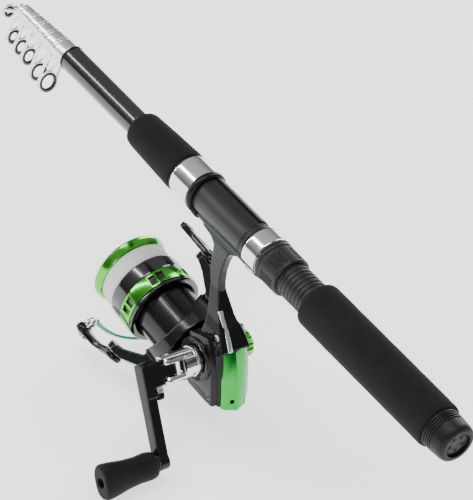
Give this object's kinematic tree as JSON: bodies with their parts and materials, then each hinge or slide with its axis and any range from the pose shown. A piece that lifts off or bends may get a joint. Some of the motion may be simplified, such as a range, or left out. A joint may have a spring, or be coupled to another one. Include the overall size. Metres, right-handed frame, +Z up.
{
  "type": "fishing rod and reel",
  "caption": "Telescopic fishing rod, closed, with foam grips, a clamping reel seat and a front-drag spinning reel that winds line from its folding crank.",
  "frame": {"origin": "on the rod's axis at the middle of the rear grip", "axes": "+Y along the rod to its tip, +Z up with the reel hanging below, +X to the angler's right"},
  "size_m": [0.137, 0.429, 0.1559],
  "materials": {
    "rubber": "soft moulded rubber",
    "foam": "closed-cell foam, matt, fine pores",
    "seat": "satin graphite grey",
    "black_plastic": "satin black",
    "gloss_black": "high gloss black lacquer",
    "chrome": "polished plating",
    "silver": "satin silver",
    "green_metal": "metallic green, glossy",
    "teal_wire": "metallic green wire",
    "ceramic": "dark polished ceramic",
    "fibre": "lacquered fibre tube",
    "steel": "machined steel",
    "brass": "machined brass",
    "felt": "pressed felt",
    "line": "translucent nylon line"
  },
  "bodies": {
    "rod": {"butt_cap": "rubber", "butt_plug": "rubber", "rear_grip": "foam", "reel_seat": "seat", "front_hood": "black_plastic", "front_ring": "chrome", "foregrip": "foam", "butt_blank": "gloss_black", "reel_body": "black_plastic", "side_cover": "black_plastic", "rear_cover": "green_metal", "stem_trim": "silver", "housing_screws": "steel", "shaft_bearings": "steel", "pinion_bearing": "steel", "anti_reverse_clutch": "steel"},
    "hood": {"rear_hood": "chrome"},
    "nut": {"seat_nut": "black_plastic"},
    "crank": {"drive_gear": "brass", "crank_hub": "chrome", "fold_pin": "steel"},
    "arm": {"crank_arm": "black_plastic"},
    "button": {"fold_button": "chrome"},
    "knob": {"handle_knob": "rubber"},
    "cap": {"screw_cap": "green_metal"},
    "oscillator": {"oscillation_gear": "silver"},
    "rotor": {"rotor": "black_plastic", "rotor_nut": "brass", "pinion": "brass"},
    "bail": {"bail_arm": "black_plastic", "bail_ear": "black_plastic", "bail_wire": "teal_wire", "bail_screws": "steel"},
    "roller": {"line_roller": "chrome"},
    "shaft": {"main_shaft": "steel", "oscillation_slider": "silver"},
    "spool": {"spool": "gloss_black", "spool_lip": "green_metal", "spool_ring": "green_metal", "wound_line": "line", "drag_washers": "felt"},
    "drag": {"drag_knob": "black_plastic"},
    "section_2": {"section_2": "fibre", "guide_1_frame": "chrome", "guide_1_ring": "ceramic"},
    "section_3": {"section_3": "fibre", "guide_2_frame": "chrome", "guide_2_ring": "ceramic"},
    "section_4": {"section_4": "fibre", "guide_3_frame": "chrome", "guide_3_ring": "ceramic"},
    "section_5": {"section_5": "fibre", "guide_4_frame": "chrome", "guide_4_ring": "ceramic"},
    "section_6": {"section_6": "fibre", "guide_5_frame": "chrome", "guide_5_ring": "ceramic", "tip_top_frame": "chrome", "tip_top_ring": "ceramic"}
  },
  "joints": [
    {"name": "section_2_slide", "type": "slide", "parent": "rod", "child": "section_2", "axis": [0, 1, 0], "range_m": [0, 0.3]},
    {"name": "section_3_slide", "type": "slide", "parent": "section_2", "child": "section_3", "axis": [0, 1, 0], "range_m": [0, 0.3]},
    {"name": "section_4_slide", "type": "slide", "parent": "section_3", "child": "section_4", "axis": [0, 1, 0], "range_m": [0, 0.3]},
    {"name": "section_5_slide", "type": "slide", "parent": "section_4", "child": "section_5", "axis": [0, 1, 0], "range_m": [0, 0.3]},
    {"name": "section_6_slide", "type": "slide", "parent": "section_5", "child": "section_6", "axis": [0, 1, 0], "range_m": [0, 0.3]},
    {"name": "hood_slide", "type": "slide", "parent": "rod", "child": "hood", "axis": [0, -1, 0], "range_m": [0, 0.012]},
    {"name": "nut_turn", "type": "hinge", "parent": "hood", "child": "nut", "pos_m": [0, 0.087, 0], "axis": [0, -1, 0], "range_deg": [0, 1440]},
    {"name": "crank_turn", "type": "hinge", "parent": "rod", "child": "crank", "pos_m": [0, 0.1255, -0.0907], "axis": [1, 0, 0], "continuous": true},
    {"name": "rotor_turn", "type": "hinge", "parent": "rod", "child": "rotor", "pos_m": [0, 0.178, -0.0968], "axis": [0, 0.9966, 0.0819], "continuous": true},
    {"name": "oscillator_turn", "type": "hinge", "parent": "rod", "child": "oscillator", "pos_m": [-0.008, 0.1148, -0.0971], "axis": [1, 0, 0], "continuous": true},
    {"name": "arm_fold", "type": "hinge", "parent": "crank", "child": "arm", "pos_m": [-0.033, 0.1255, -0.0907], "axis": [0, 0.544, 0.8391], "range_deg": [0, 90]},
    {"name": "button_press", "type": "slide", "parent": "arm", "child": "button", "axis": [0, 0.544, 0.8391], "range_m": [0, 0.002], "stiffness_N_per_m": 400},
    {"name": "knob_spin", "type": "hinge", "parent": "arm", "child": "knob", "pos_m": [-0.06, 0.09857, -0.13223], "axis": [1, 0, 0], "continuous": true},
    {"name": "cap_turn", "type": "hinge", "parent": "crank", "child": "cap", "pos_m": [0.017, 0.1255, -0.0907], "axis": [1, 0, 0], "range_deg": [0, 720]},
    {"name": "bail_flip", "type": "hinge", "parent": "rotor", "child": "bail", "pos_m": [0, 0.178, -0.0968], "axis": [0.6871, -0.0595, 0.7241], "range_deg": [0, 105]},
    {"name": "roller_spin", "type": "hinge", "parent": "bail", "child": "roller", "pos_m": [-0.0268, 0.20524, -0.12299], "axis": [0.6871, -0.0595, 0.7241], "continuous": true},
    {"name": "shaft_stroke", "type": "slide", "parent": "rod", "child": "shaft", "axis": [0, 0.9966, 0.0819], "range_m": [-0.012, 0]},
    {"name": "spool_slip", "type": "hinge", "parent": "shaft", "child": "spool", "pos_m": [0, 0.178, -0.0968], "axis": [0, 0.9966, 0.0819], "continuous": true},
    {"name": "drag_turn", "type": "hinge", "parent": "shaft", "child": "drag", "pos_m": [0, 0.21388, -0.09385], "axis": [0, 0.9966, 0.0819], "range_deg": [-720, 720]}
  ],
  "couplings": [
    {"joint": "nut_turn", "follows": "hood_slide", "rad_per_m": 2094.4},
    {"joint": "rotor_turn", "follows": "crank_turn", "ratio": -5.2},
    {"joint": "oscillator_turn", "follows": "crank_turn", "ratio": -0.875}
  ]
}
